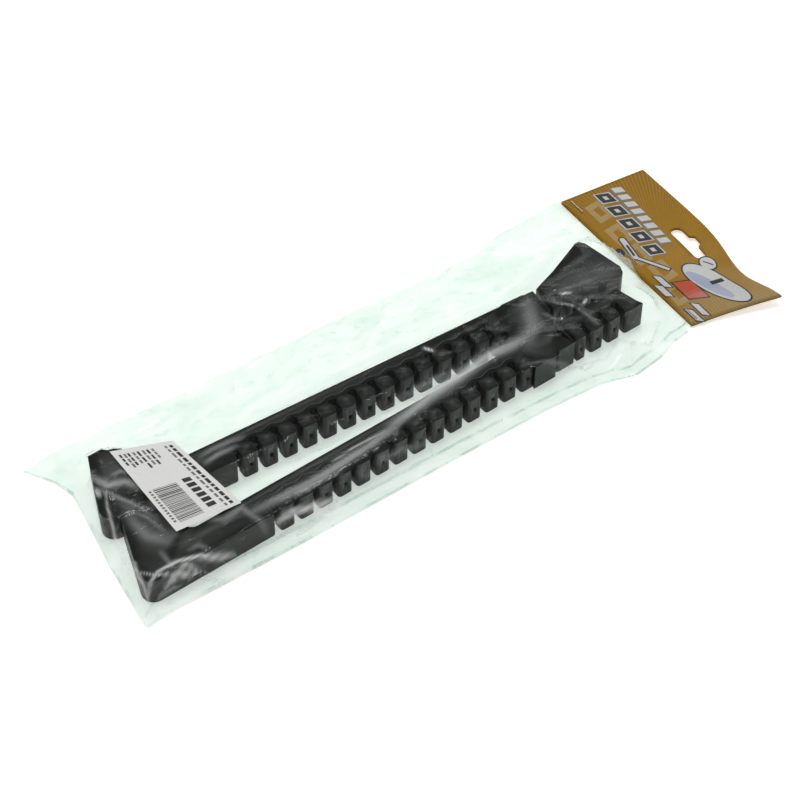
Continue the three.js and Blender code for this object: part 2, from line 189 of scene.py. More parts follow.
def printedCard(card):
    # coated board, offset printed: ochre with fine rays from one point and a screen of dots,
    # paler towards its front corner with a painted sheen of reflected light
    material, tree, out = newMaterial("coatedBoardOffsetPrinted")
    place = addNode(tree, "ShaderNodeTexCoord")
    rayX, rayY = card["rayCentre"]
    centred = addNode(tree, "ShaderNodeMapping", {"Location": (-rayX * mm, -rayY * mm, 0)},
                      {"Vector": place.outputs["Object"]})
    split = addNode(tree, "ShaderNodeSeparateXYZ", links={"Vector": centred.outputs["Vector"]})
    angle = addNode(tree, "ShaderNodeMath", {"operation": "ARCTAN2"},
                    {0: split.outputs["Y"], 1: split.outputs["X"]})
    turns = addNode(tree, "ShaderNodeMath", {"operation": "MULTIPLY", 1: 180.0},
                    {0: angle.outputs["Value"]})
    ray = addNode(tree, "ShaderNodeMath", {"operation": "SINE"}, {0: turns.outputs["Value"]})
    rayShare = addNode(tree, "ShaderNodeMapRange", {"From Min": -1.0, "From Max": 1.0},
                       {"Value": ray.outputs["Value"]})
    far = addNode(tree, "ShaderNodeVectorMath", {"operation": "LENGTH"}, {0: centred.outputs["Vector"]})
    fade = addNode(tree, "ShaderNodeMapRange", {
        "From Min": 0.008, "From Max": 0.075, "To Min": 0.2, "To Max": 1.0}, {"Value": far.outputs["Value"]})
    rays = addNode(tree, "ShaderNodeMath", {"operation": "MULTIPLY"},
                   {0: rayShare.outputs["Result"], 1: fade.outputs["Result"]})
    dots = addNode(tree, "ShaderNodeTexVoronoi", {"feature": "F1", "Scale": 620.0, "Randomness": 0.35},
                   {"Vector": place.outputs["Object"]})
    mottle = addNode(tree, "ShaderNodeTexNoise", {"Scale": 240.0, "Detail": 4.0},
                     {"Vector": place.outputs["Object"]})
    base = addNode(tree, "ShaderNodeMix", {
        "data_type": "RGBA", 6: hexColour("#b1831c"), 7: hexColour("#8c640a")}, {0: rays.outputs["Value"]})
    screen = addNode(tree, "ShaderNodeMapRange", {
        "From Min": 0.0, "From Max": 0.7, "To Min": 0.30, "To Max": 0.0}, {"Value": dots.outputs["Distance"]})
    darker = addNode(tree, "ShaderNodeMix", {"data_type": "RGBA", 7: hexColour("#6b4a02")},
                     {0: screen.outputs["Result"], 6: base.outputs[2]})
    varied = addNode(tree, "ShaderNodeMapRange", {"To Min": 0.0, "To Max": 0.16},
                     {"Value": mottle.outputs["Fac"]})
    colour = addNode(tree, "ShaderNodeMix", {"data_type": "RGBA", 7: hexColour("#bd9030")},
                     {0: varied.outputs["Result"], 6: darker.outputs[2]})
    # painted sheen: towards the front edge the colour is mixed with a pale grey-tan, for light reflected
    # there
    along = addNode(tree, "ShaderNodeSeparateXYZ", links={"Vector": place.outputs["Object"]})
    pale = addNode(tree, "ShaderNodeMapRange", {
        "From Min": -0.036, "From Max": -0.070, "To Min": 0.0, "To Max": 0.5}, {"Value": along.outputs["Y"]})
    withPaintedSheen = addNode(tree, "ShaderNodeMix", {"data_type": "RGBA", 7: hexColour("#c2ad84")},
                    {0: pale.outputs["Result"], 6: colour.outputs[2]})
    rough = addNode(tree, "ShaderNodeMapRange", {"To Min": 0.28, "To Max": 0.42},
                    {"Value": mottle.outputs["Fac"]})
    board = addNode(tree, "ShaderNodeBsdfPrincipled", {"IOR": 1.48, "Specular IOR Level": 0.22}, {
        "Base Color": withPaintedSheen.outputs[2], "Roughness": rough.outputs["Result"]})
    tree.links.new(board.outputs["BSDF"], out.inputs["Surface"])
    return material


def printingInk(name, low, high, roughness):
    # ink on coated paper: even, with the slight mottle of the paper's fibres
    material, tree, out = newMaterial(name)
    place = addNode(tree, "ShaderNodeTexCoord")
    mottle = addNode(tree, "ShaderNodeTexNoise", {"Scale": 500.0, "Detail": 3.0},
                     {"Vector": place.outputs["Object"]})
    colour = addNode(tree, "ShaderNodeMix", {"data_type": "RGBA", 6: hexColour(low), 7: hexColour(high)},
                     {0: mottle.outputs["Fac"]})
    ink = addNode(tree, "ShaderNodeBsdfPrincipled", {"Roughness": roughness},
                  {"Base Color": colour.outputs[2]})
    tree.links.new(ink.outputs["BSDF"], out.inputs["Surface"])
    return material


def stapleSteel():
    # zinc-plated steel wire, drawn: bright, a little uneven
    material, tree, out = newMaterial("steelWireZincPlated")
    place = addNode(tree, "ShaderNodeTexCoord")
    uneven = addNode(tree, "ShaderNodeTexNoise", {"Scale": 900.0, "Detail": 2.0},
                     {"Vector": place.outputs["Object"]})
    rough = addNode(tree, "ShaderNodeMapRange", {"To Min": 0.18, "To Max": 0.34},
                    {"Value": uneven.outputs["Fac"]})
    steel = addNode(tree, "ShaderNodeBsdfPrincipled", {"Base Color": hexColour("#b9bbbd"), "Metallic": 1.0},
                    {"Roughness": rough.outputs["Result"]})
    tree.links.new(steel.outputs["BSDF"], out.inputs["Surface"])
    return material


def labelPaper():
    # wood-free paper, coated for thermal print: matt white with faint fibres
    material, tree, out = newMaterial("thermalPaperCoated")
    place = addNode(tree, "ShaderNodeTexCoord")
    fibre = addNode(tree, "ShaderNodeTexNoise", {"Scale": 800.0, "Detail": 5.0},
                    {"Vector": place.outputs["Object"]})
    colour = addNode(tree, "ShaderNodeMix", {
        "data_type": "RGBA", 6: hexColour("#f1f1ee"), 7: hexColour("#fafaf7")}, {0: fibre.outputs["Fac"]})
    bump = addNode(tree, "ShaderNodeBump", {"Strength": 0.08, "Distance": 0.0002},
                   {"Height": fibre.outputs["Fac"]})
    paper = addNode(tree, "ShaderNodeBsdfPrincipled", {"Roughness": 0.5},
                    {"Base Color": colour.outputs[2], "Normal": bump.outputs["Normal"]})
    tree.links.new(paper.outputs["BSDF"], out.inputs["Surface"])
    return material


coverPlaces = {
    1: {"x": -211.05, "y": -3.9, "turn": -2.4},
    2: {"x": -214.85, "y": -54.5, "turn": 1.75},
}
cover = {
    "low": 0.65, "top": 19.35, "firstGap": 88.5, "pitch": 13.2,
    "rimFirst": 0.22, "rimSecond": 0.5, "dropOuter": 0.62, "dropMiddle": 0.2,
    "pitMargin": 1.75, "pitLength": 2.8, "pitDepth": 1.4, "pitDraft": 0.12,
    "treadMin": 4.0, "treadMax": 9.0, "treadTall": 17.0,
    "beadHeight": 12.5, "beadWave": 0.9, "beadRadius": 0.34, "beadSunk": 0.06,
    "beadStart": 80.5, "beadEnd": 266.0, "beadStep": 0.8,
}


def onCover(number, s, h):
    place = coverPlaces[number]
    turn = math.radians(place["turn"])
    return (place["x"] + s * math.cos(turn) - h * math.sin(turn),
            place["y"] + s * math.sin(turn) + h * math.cos(turn))


def mouldedPart(node, number, body, material):
    bm = bmesh.new()
    bm.from_mesh(nodes[node].data)
    bmesh.ops.remove_doubles(bm, verts=bm.verts, dist=1e-6)
    bmesh.ops.dissolve_limit(bm, angle_limit=math.radians(0.5), verts=bm.verts, edges=bm.edges)
    turn = math.radians(coverPlaces[number]["turn"])
    along = Vector((math.cos(turn), math.sin(turn), 0))
    down = Vector((math.sin(turn), -math.cos(turn), 0))
    sole = []
    for face in bm.faces:
        if face.normal.dot(down) <= 0.99 or len(face.verts) != 4:
            continue
        spans = [v.co.dot(along) for v in face.verts]
        levels = [v.co.z for v in face.verts]
        wide, tall = (max(spans) - min(spans)) / mm, (max(levels) - min(levels)) / mm
        if tall > cover["treadTall"] and cover["treadMin"] < wide < cover["treadMax"]:
            sole.append(face)
    if sole:   # a small moulded pit in each tread block
        bmesh.ops.inset_individual(bm, faces=sole, thickness=cover["pitMargin"] * mm, use_even_offset=True)
        for face in sole:
            middle = face.calc_center_median().z
            levels = [v.co.z for v in face.verts]
            reach = cover["pitLength"] * mm / (max(levels) - min(levels))
            for v in face.verts:
                v.co.z = middle + (v.co.z - middle) * reach
        bmesh.ops.inset_individual(bm, faces=sole, thickness=cover["pitDraft"] * mm,
                                       depth=-cover["pitDepth"] * mm)
    for side in (1, -1):
        level = max(v.co.z * side for v in bm.verts)
        rim = [f for f in bm.faces
               if f.normal.z * side > 0.99 and abs(f.calc_center_median().z * side - level) < 1e-5]
        rows = []
        for step in ("rimFirst", "rimSecond"):
            rows.append({v for f in rim for v in f.verts})
            bmesh.ops.inset_region(bm, faces=rim, thickness=cover[step] * mm, use_even_offset=False,
                                   use_boundary=True)
        for row, drop in zip(rows, ("dropOuter", "dropMiddle")):   # a rounded edge in two steps
            for v in row:
                v.co.z -= side * cover[drop] * mm
    bmesh.ops.triangulate(bm, faces=bm.faces)
    piece = meshPiece("moulded_" + node, bm, material, body, smooth=32)
    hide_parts(node)


def scallopedBead(number, material):
    # a thin raised line that rises over the round end of each gap
    curve = bpy.data.curves.new(f"bead_{number}", "CURVE")
    curve.dimensions = "3D"
    curve.bevel_depth = cover["beadRadius"] * mm
    curve.bevel_resolution = 2
    for z in (cover["top"] - cover["beadSunk"], cover["low"] + cover["beadSunk"]):
        line = curve.splines.new("POLY")
        count = int((cover["beadEnd"] - cover["beadStart"]) / cover["beadStep"])
        line.points.add(count - 1)
        for i in range(count):
            s = cover["beadStart"] + i * cover["beadStep"]
            wave = math.cos(2 * math.pi * (s - cover["firstGap"]) / cover["pitch"])
            x, y = onCover(number, s, cover["beadHeight"] + cover["beadWave"] * wave)
            line.points[i].co = (x * mm, y * mm, z * mm, 1)
    holder = bpy.data.objects.new("beadHolder", curve)
    scene.collection.objects.link(holder)
    bpy.context.view_layer.update()
    bm = bmesh.new()
    bm.from_mesh(holder.evaluated_get(bpy.context.evaluated_depsgraph_get()).to_mesh())
    bpy.data.objects.remove(holder)
    meshPiece(f"bead_{number}", bm, material, "pack", smooth=60)


blackPlastic = coverPlastic("polyethyleneMouldedBlack", "#11110f", "#191816")
# the bead is the same plastic painted lighter, a painted sheen standing in for the light line along it
beadPaintedSheenPlastic = coverPlastic("polyethyleneBeadPaintedSheen", "#42423f", "#565652")
for number in (1, 2):
    mouldedPart(f"toe_part_{number}", number, "pack", blackPlastic)
    mouldedPart(f"size_clip_{number}", number, "pack", blackPlastic)
    mouldedPart(f"heel_part_{number}", number, f"heel_{number}", blackPlastic)
    scallopedBead(number, beadPaintedSheenPlastic)
print("covers made")


bag = {
    "cellsX": 300, "cellsY": 104,
    "coverHeight": 19.8, "labelHeight": 19.95, "edgeHeight": 0.55, "lowest": 0.5,
    "mouthHeight": 1.875, "sag": 0.024, "sagBetween": 0.006, "rounds": 1600, "heelRoom": 7.8,
    "overCovers": 0.05, "labelSlack": 0.25, "labelMargin": 1.08, "fadeCells": 5, "cardFadeCells": 16,
    "underHeight": 0.25, "underDrop": 0.3, "riseStart": 150, "riseRun": 12.5,
    "left": [(-222.9, 69.4), (-212, 52), (-208, 38), (-210.5, 18), (-216.5, -20), (-219.5, -50),
             (-221.2, -66.0)],
    "front": [(-221.2, -66.0), (-205, -64.2), (-120, -65.6), (-20, -65.2), (50, -65.6), (90, -68.0),
              (112, -74.5), (132, -72.0), (148, -66.5), (162.5, -64.4)],
    "back": [(-222.9, 69.4), (-196, 73.0), (-170.5, 71.1), (-137.6, 69.6), (-103.8, 68.8), (-62.7, 67.2),
             (-13.5, 65.5), (36.5, 63.2), (66, 62.3), (94.5, 61.6), (101.6, 66.4), (132.1, 68.3),
             (162.5, 69.8)],
    "right": [(162.5, 69.8), (162.5, -64.4)],
}
heelRoom = bag["heelRoom"]
envelopes = {   # each cover's outline with room for its heel to slide, along the sole and up from it
    1: [(0.5, 0.6), (6, -0.6), (269, -0.6), (269, -2.8), (287, -2.8), (302, -0.6), (355 + heelRoom, -0.8),
        (358.8 + heelRoom, 7), (352 + heelRoom, 36), (349 + heelRoom, 38.4), (345, 38.4), (320, 26.4),
        (302, 20), (50, 19.6), (44.5, 22), (42.3, 27), (41.2, 34), (37.8, 41), (33, 45.8), (28.8, 47.5),
        (25.5, 49.4),
        (15.8, 49.2), (-0.5, 3.5)],
    2: [(0.5, 0.6), (6, -0.6), (269, -0.6), (269, -2.8), (287, -2.8), (302, -0.6), (354.8 + heelRoom, -0.6),
        (349.8 + heelRoom, 19.4), (302, 19.5), (50, 19.6), (44.5, 22), (42.3, 27), (41.2, 34), (37.8, 41),
        (33, 45.8), (28.8, 47.5), (25.5, 49.4), (15.8, 49.2), (-0.5, 3.5)],
}
labelCorners = [(-181.2, 38.4), (-147.8, 25.0), (-139.9, -35.6), (-180.0, -32.0)]
# points along the ridge, height and width in mm; a negative height is a valley
folds = [
    ([(-222, 69), (-205, 38), (-197.5, 11)], 3.0, 5.0),
    ([(-220, 66), (-203, 50), (-194, 44)], 2.0, 4.0),
    ([(-197.5, 11.1), (-187, 44.5)], 0.9, 2.0), ([(-197.5, 11.1), (-172.8, 30)], 0.9, 2.0),
    ([(-197.5, 11.1), (-169.2, 14.1)], 0.9, 1.8), ([(-197.5, 11.1), (-165.2, -6.3)], 1.0, 1.8),
    ([(-197.5, 11.1), (-169.5, -29.1)], 0.8, 1.6), ([(-197.5, 11.1), (-180.8, -42.4)], 0.9, 1.8),
    ([(-197.5, 11.1), (-208.2, -19)], 1.2, 2.0),
    ([(-195.1, -4.4), (-182.1, -7.4), (-175.6, -18), (-173.6, -30.5), (-176.8, -41)], 1.2, 1.6),
    ([(-216.9, -63.1), (-207.7, -58.2), (-197, -58.3), (-165.2, -66.6)], 1.6, 1.6),
    ([(-221, -66), (-207.7, -58.2)], 2.2, 2.0),
    ([(-128.5, -45), (-108, -46.2), (-82, -47.1), (-64, -46.1), (-44, -46.8), (-33, -40.9), (-10, -33.7),
      (19, -30.2), (46, -25.6), (72, -29), (92, -38)], 2.4, 5.0),
    ([(-64, -46), (-30, -48), (10, -50)], 0.6, 1.5),
    ([(80.4, 2.7), (94.7, -5.3), (110.9, -13.6)], -1.2, 1.0),
    ([(93.6, -8.6), (105.3, -22.8), (106, -41.2)], 1.1, 1.4),
    ([(128, 23), (150, 0), (160, -20)], 1.0, 3.0), ([(100, -14), (129, -34), (150, -40)], 0.9, 2.2),
    ([(112, -72), (128, -60), (150, -58)], 3.5, 4.0), ([(90, -68), (110, -62), (128, -66)], 2.4, 3.0),
]

# painted sheen on the film, matt grey standing in for its reflections where it lies double or slopes: centre
# line, width in mm and strength
paintedSheens = [
    ([(-137.5, -44.0), (-119.2, -45.2), (-104.3, -46.0), (-89.6, -45.6), (-73.9, -43.8), (-59.3, -43.2),
      (-42.0, -39.0), (-25.7, -35.7)], 3.0, 0.55),
    ([(-39.5, -37.4), (-21.8, -35.1), (-4.8, -32.1), (11.5, -30.3), (26.5, -27.5), (38.3, -26.2),
      (52.2, -27.2), (64.7, -27.2)], 3.4, 0.85),
    ([(60.3, -33.0), (73.8, -20.0), (84.1, -2.4)], 5, 0.35),
    ([(107.0, -8.9), (146.1, -11.7)], 9, 0.16),
    ([(96.1, -6.3), (136.0, -12.8)], 1.4, 0.3),
    ([(137.5, 6.7), (117.2, 4.4)], 2, 0.14),
    ([(104.1, -24.4), (106.3, -42.8)], 1.0, 0.3),
    ([(88.0, -3.6), (101.2, -19.9), (104.1, -24.4)], 0.9, 0.22),
    ([(83.9, -15.1), (89.1, -26.1)], 1.1, 0.25),
    ([(-201.9, 19.6), (-197.8, 12.2), (-190.6, 0.4), (-185.9, -11.6)], 1.2, 0.5),
    ([(-198.8, 27.8), (-194.9, 17.2), (-185.4, 14.9), (-181.3, 7.6)], 2.4, 0.6),
    ([(-188.9, 23.1), (-183.3, 22.6), (-180.9, 19.6)], 1.2, 0.4),
    ([(-194.6, -3.5), (-195.7, -13.9), (-194.5, -25.7), (-187.7, -33.8), (-182.5, -32.0)], 3.4, 0.3),
    ([(-194.2, -38.9), (-194.1, -49.7), (-194.2, -53.8)], 1.5, 0.3),
    ([(-190.7, -52.2), (-177.8, -52.7)], 1.6, 0.26),
    ([(-180.5, -46.4), (-174.6, -46.3), (-171.8, -52.6)], 1.6, 0.26),
    ([(-159.1, -36.2), (-153.8, -39.9), (-141.7, -38.3), (-137.0, -55.0)], 2, 0.36),
    ([(-141.3, 6.1), (-132.9, 7.0), (-122.0, 6.4), (-113.3, 5.0)], 1.5, 0.36),
    ([(-141.2, 0.7), (-131.7, 2.1), (-120.2, 1.2)], 1.6, 0.46),
    ([(-195.7, 2.1), (-187.6, -16.5), (-185.0, -29.3)], 1.2, 0.3),
    ([(-194.8, 5.8), (-188.1, -6.7), (-183.9, -19.0)], 1.0, 0.25),
    ([(-60.1, -52.0), (-50.3, -52.3), (-24.8, -53.5)], 1.0, 0.26),
    ([(-73.1, -52.6), (-64.7, -56.2)], 1.2, 0.2),
    ([(50.4, -42.5), (88.1, -58.3), (99.8, -54.9)], 0.9, 0.28),
    ([(113.6, -52.8), (130.3, -63.5), (145.0, -53.9)], 0.9, 0.26),
    ([(65.2, -52.9), (101.5, -57.5), (113.6, -52.8)], 0.9, 0.24),
    ([(-101.6, -26.1), (-75.8, -28.1), (-44.7, -28.0)], 2.2, 0.2),
    ([(-23.4, -22.5), (-1.2, -21.1), (13.8, -22.1)], 2.0, 0.18),
]
# painted glints: thin bright lines of matt white standing in for highlights where the film is creased
# sharply, in the same form
paintedGlints = [
    ([(-211.6, -43.2), (-203.9, -51.9), (-196.4, -54.7), (-185.6, -57.3), (-163.9, -66.6)], 0.7, 0.6),
    ([(-213.0, -55.6), (-202.9, -49.9), (-190.8, -49.2), (-168.9, -55.8), (-159.2, -57.9)], 1.0, 0.8),
    ([(-203.9, -57.6), (-187.3, -53.5), (-180.8, -58.1)], 0.9, 0.6),
    ([(-198.1, 13.4), (-202.2, 5.0), (-207.5, -11.3), (-211.1, -28.5), (-212.2, -42.7)], 0.7, 0.55),
    ([(-209.4, -36.5), (-211.8, -43.4), (-214.2, -58.3)], 0.8, 0.6),
    ([(-201.7, 18.1), (-202.0, 13.1)], 0.9, 0.8),
    ([(-129.7, -55.2), (-117.8, -54.1), (-91.1, -57.2)], 1.0, 0.8),
    ([(-120.4, -61.8), (-101.0, -59.8), (-91.5, -57.7)], 0.8, 0.7),
    ([(102.6, -9.6), (108.6, -12.3)], 0.8, 0.9),
    ([(108.8, -24.2), (113.0, -22.6)], 0.8, 0.8),
    ([(10.4, 1.8), (13.7, -3.7)], 0.8, 0.9),
    ([(-82.2, -39.7), (-67.6, -38.3), (-45.2, -38.6)], 0.6, 0.5),
]


def bagOutlinePoint(p, q):
    # p from the toe end to the card, q from the front edge to the back edge, each 0 to 1
    low, high = alongLine(bag["front"], p), alongLine(bag["back"], p)
    left, right = alongLine(bag["left"][::-1], q), alongLine(bag["right"][::-1], q)
    corners = (bag["front"][0], bag["front"][-1], bag["back"][0], bag["back"][-1])
    ends = [np.array(c, float) for c in corners]
    p, q = p[..., None], q[..., None]
    flat = (1 - p) * (1 - q) * ends[0] + p * (1 - q) * ends[1] + (1 - p) * q * ends[2] + p * q * ends[3]
    return (1 - q) * low + q * high + (1 - p) * left + p * right - flat


def foldHeight(x, y, points, height, width, power=1):
    p = np.array(points, float)
    lengths = np.hypot(*np.diff(p, axis=0).T)
    best, share = np.full(x.shape, 1e9), np.zeros(x.shape)
    start = 0.0
    for a, b, long in zip(p, p[1:], lengths):
        t = np.clip(((x - a[0]) * (b[0] - a[0]) + (y - a[1]) * (b[1] - a[1])) / long ** 2, 0, 1)
        d = np.hypot(x - a[0] - t * (b[0] - a[0]), y - a[1] - t * (b[1] - a[1]))
        nearer = d < best
        best = np.where(nearer, d, best)
        share = np.where(nearer, (start + t * long) / lengths.sum(), share)
        start += long
    taper = np.sin(np.pi * np.clip(share * 0.9 + 0.05, 0, 1)) ** 0.5
    return height * np.exp(-(best / width) ** power) * taper


def drapedHeights(x, y):
    # a membrane laid over the covers: each point settles to its neighbours' mean, and never below
    # what is under it
    floor = np.full(x.shape, bag["lowest"])
    for number, outline in envelopes.items():
        polygon = [onCover(number, s, h) for s, h in outline]
        floor = np.where(inside(polygon, x, y), bag["coverHeight"], floor)
    floor = np.where(inside(labelCorners, x, y), np.maximum(floor, bag["labelHeight"]), floor)
    between = [onCover(2, 36, 18), onCover(2, 360, 18), onCover(1, 364, 1), onCover(1, 24, 1)]
    sag = np.where(inside(between, x, y), bag["sagBetween"], bag["sag"])[1:-1, 1:-1]
    z = floor.copy()
    z[0, :] = z[:, 0] = z[:, -1] = bag["edgeHeight"]
    z[-1, :] = bag["mouthHeight"]
    for _ in range(bag["rounds"]):
        mean = 0.25 * (z[:-2, 1:-1] + z[2:, 1:-1] + z[1:-1, :-2] + z[1:-1, 2:]) - sag
        z[1:-1, 1:-1] = np.maximum(mean, floor[1:-1, 1:-1])
    return z, floor


def filmSheet(name, cellsX, cellsY, heights, material, body, sealed=None):
    bm = bmesh.new()
    bmesh.ops.create_grid(bm, x_segments=cellsX, y_segments=cellsY, size=1.0)
    co = np.array([v.co for v in bm.verts])
    p, q = np.clip((co[:, 0] + 1) / 2, 0, 1), np.clip((co[:, 1] + 1) / 2, 0, 1)
    plan = bagOutlinePoint(p, q)
    z = heights(np.rint(p * cellsX).astype(int), np.rint(q * cellsY).astype(int), plan)
    if sealed:   # the folded edges: the outer row of cells, and a second line along the front
        for face in bm.faces:
            middle = face.calc_center_median()
            i, j = int((middle.x + 1) / 2 * cellsX), int((middle.y + 1) / 2 * cellsY)
            face.material_index = int(i == 0 or j in (0, 4))
    for v, (x, y), height in zip(bm.verts, plan, z):
        v.co = (x * mm, y * mm, height * mm)
    piece = meshPiece(name, bm, material, body, smooth=75)
    if sealed:
        piece.data.materials.append(sealed)
    return piece


# small creases, mostly along the bag: some anywhere, then deeper ones on its empty back and front margins
creases = {
    "seed": 8, "everywhere": 150, "margins": 80, "x": (-215, 160), "y": (-62, 68), "angle": (0.25, 0.7),
    "length": (6, 26), "height": (0.1, 0.55), "width": (0.9, 3.0),
    "backY": (34, 68), "frontY": (-64, -52), "marginHigh": 2.2, "marginWide": 1.4,
}


def upperHeights():
    cellsX, cellsY = bag["cellsX"], bag["cellsY"]
    p, q = np.meshgrid(np.linspace(0, 1, cellsX + 1), np.linspace(0, 1, cellsY + 1), indexing="ij")
    plan = bagOutlinePoint(p, q)
    x, y = plan[..., 0], plan[..., 1]
    z, floor = drapedHeights(x, y)
    rise = np.zeros(x.shape)
    for points, height, width in folds:
        rise += foldHeight(x, y, points, height, width)
    random = np.random.default_rng(creases["seed"])
    for k in range(creases["everywhere"] + creases["margins"]):
        cx, cy = random.uniform(*creases["x"]), random.uniform(*creases["y"])
        angle, long = random.normal(*creases["angle"]), random.uniform(*creases["length"])
        high, wide = random.uniform(*creases["height"]), random.uniform(*creases["width"])
        if k >= creases["everywhere"]:
            cy = random.uniform(*creases["backY"]) if k % 3 else random.uniform(*creases["frontY"])
            high, wide = high * creases["marginHigh"], wide * creases["marginWide"]
        dx, dy = math.cos(angle) * long, math.sin(angle) * long
        rise += foldHeight(x, y, [(cx - dx, cy - dy), (cx + dx, cy + dy)], high, wide)
    toEnd, toSide = np.minimum(p, 1 - p) * cellsX, np.minimum(q, 1 - q) * cellsY
    rise *= np.clip(np.minimum(toEnd, toSide) / bag["fadeCells"], 0, 1)
    rise *= np.clip((1 - p) * cellsX / bag["cardFadeCells"], 0, 1)
    z = np.maximum(z + rise, floor + bag["overCovers"])
    middle = np.mean(labelCorners, 0)
    grown = [tuple(middle + (np.array(c) - middle) * bag["labelMargin"]) for c in labelCorners]
    z = np.where(inside(grown, x, y), np.minimum(z, bag["labelHeight"] + bag["labelSlack"]), z)
    z[0, :] = z[:, 0] = z[:, -1] = bag["edgeHeight"]
    z[-2:, :] = bag["mouthHeight"]   # flat beside the card, so that the card can fold up
    return z


def markFilm(piece, name, lines):
    # a value from 0 to 1 at each point of the film, highest along the given lines
    x, y = np.array([v.co[:2] for v in piece.data.vertices]).T / mm
    value = np.zeros(x.shape)
    for points, width, strength in lines:
        value = np.maximum(value, foldHeight(x, y, points, strength, width, power=2))
    mark = piece.data.attributes.new(name, "FLOAT", "POINT")
    mark.data.foreach_set("value", np.clip(value, 0, 1).astype(np.float32))


def lowerZ(i, j, plan):
    # flat on the table, and up to the card's mouth at its end
    climb = np.clip((plan[:, 0] - bag["riseStart"]) / bag["riseRun"], 0, 1)
    return bag["underHeight"] + (bag["mouthHeight"] - bag["underDrop"]) * climb ** 2


film = clearFilm("polypropyleneFilmCast", "#eef5f1", "#dce5e0", 0.022, 0.22, 0.001, marked=True)
lowerFilmLook = clearFilm("polypropyleneFilmUnder", "#f4f9f6", "#e9f0ec", 0.015, 0.12, 0.0)
sealedFilm = clearFilm("polypropyleneFilmSealed", "#cfdcd5", "#bccbc3", 0.08, 0.3, 0.01)
upper = upperHeights()
upperFilm = filmSheet("film_upper", bag["cellsX"], bag["cellsY"], lambda i, j, plan: upper[i, j],
                      film, "pack", sealedFilm)
# painted sheen and painted glints: matt grey and white marks along the listed lines
markFilm(upperFilm, "hazeAndPaintedSheen", paintedSheens)
markFilm(upperFilm, "paintedGlint", paintedGlints)
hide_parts("bag_upper_film")
lowerFilm = filmSheet("film_lower", 100, 36, lowerZ, lowerFilmLook, "pack")
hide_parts("bag_lower_film")
print("film draped")


card = {
    "inner": 162.85, "front": -63.0, "depth": 60.5, "long": 129.0, "skew": -6.5,
    "topZ": 2.6, "lowZ": 1.15, "board": 0.45,
    "slotEdge": 17.5, "slotShare": 0.463, "slotLength": 29.5, "slotWidth": 8.0,
    "bump": 3.0, "bumpWidth": 10.0, "bumpSlope": 1.8,
    "curl": 6.0, "curlAlong": 0.95, "curlAside": 1.15, "curlFrom": 1.05, "curlPower": 1.7,
    "cornerShift": (-1.8, -5.7), "leanX": 0.4, "leanY": 0.7,
    "archAt": 0.8, "archFront": 0.2, "archBack": 0.13, "archRise": 4.0, "archDraw": 8.0, "bow": 0.8,
    "rayCentre": (186.0, -8.0), "cut": 3.0,
}
mouth = {"inner": -0.35, "outer": 57.0, "front": (-1.4, -1.8), "back": (3.8, 2.0), "slotRoom": 0.6}


def flatShapes(shapes):
    # shapes: (outer loop, hole loops, lift), filled flat
    bm = bmesh.new()
    for outer, holes, lift in shapes:
        edges = []
        for loop in [outer] + holes:
            verts = [bm.verts.new((a, b, lift)) for a, b in loop]
            edges += [bm.edges.new((v, w)) for v, w in zip(verts, verts[1:] + verts[:1])]
        bmesh.ops.triangle_fill(bm, edges=edges, use_beauty=True, use_dissolve=False)
    return bm


def cutAt(bm, where, normal):
    bmesh.ops.bisect_plane(bm, geom=bm.verts[:] + bm.edges[:] + bm.faces[:], plane_co=where, plane_no=normal)


def cutAcross(bm, step):
    # rows of cuts, so that a flat shape can follow a curved surface
    for axis in (0, 1):
        values = [v.co[axis] for v in bm.verts]
        level = math.floor(min(values) / step) * step + step
        while level < max(values) - 1e-6:
            normal = [0, 0, 0]
            normal[axis] = 1
            where = [0, 0, 0]
            where[axis] = level
            cutAt(bm, where, normal)
            level += step


def onCard(t, v, lift):
    # t runs over the upper leaf, round the fold and back under, v from the front edge to the back
    radius = (card["topZ"] - card["lowZ"]) / 2
    bend = math.pi * radius
    if t <= card["depth"]:
        u, z, out = t, card["topZ"], (0.0, 1.0)
    elif t < card["depth"] + bend:
        a = (t - card["depth"]) / radius
        out = (math.sin(a), math.cos(a))
        u, z = card["depth"] + radius * out[0], card["lowZ"] + radius * (1 + out[1])
    else:
        u, z, out = 2 * card["depth"] + bend - t, card["lowZ"], (0.0, -1.0)
    u, z = u + out[0] * lift, z + out[1] * lift
    # the front outer corner curls up, and the middle of the card bows a little
    across, aside = u / card["depth"], 1 - v / card["long"]
    reach = across * card["curlAlong"] + aside * card["curlAside"] - card["curlFrom"]
    corner = max(0.0, reach) / card["curlFrom"]
    pulled = corner ** card["curlPower"]
    # it also arches across its front third, which draws the outer edge in
    off = aside - card["archAt"]
    arch = math.exp(-(off / (card["archFront"] if off < 0 else card["archBack"])) ** 2)
    rise = card["curl"] * pulled + card["archRise"] * arch * math.sin(math.pi * min(max(across, 0), 1))
    rise += card["bow"] * math.sin(math.pi * min(max(v / card["long"], 0), 1)) * across ** 2
    shiftX, shiftY = card["cornerShift"]
    x = card["inner"] + u - card["leanX"] * rise + shiftX * pulled - card["archDraw"] * arch * across ** 2
    y = card["front"] + card["skew"] * across + v - card["leanY"] * rise + shiftY * pulled
    return x * mm, y * mm, (z + rise) * mm


def boardLength():
    # both leaves and the fold between them
    return 2 * card["depth"] + math.pi * (card["topZ"] - card["lowZ"]) / 2


def slotMiddle():
    return card["depth"] - card["slotEdge"], card["long"] * card["slotShare"]


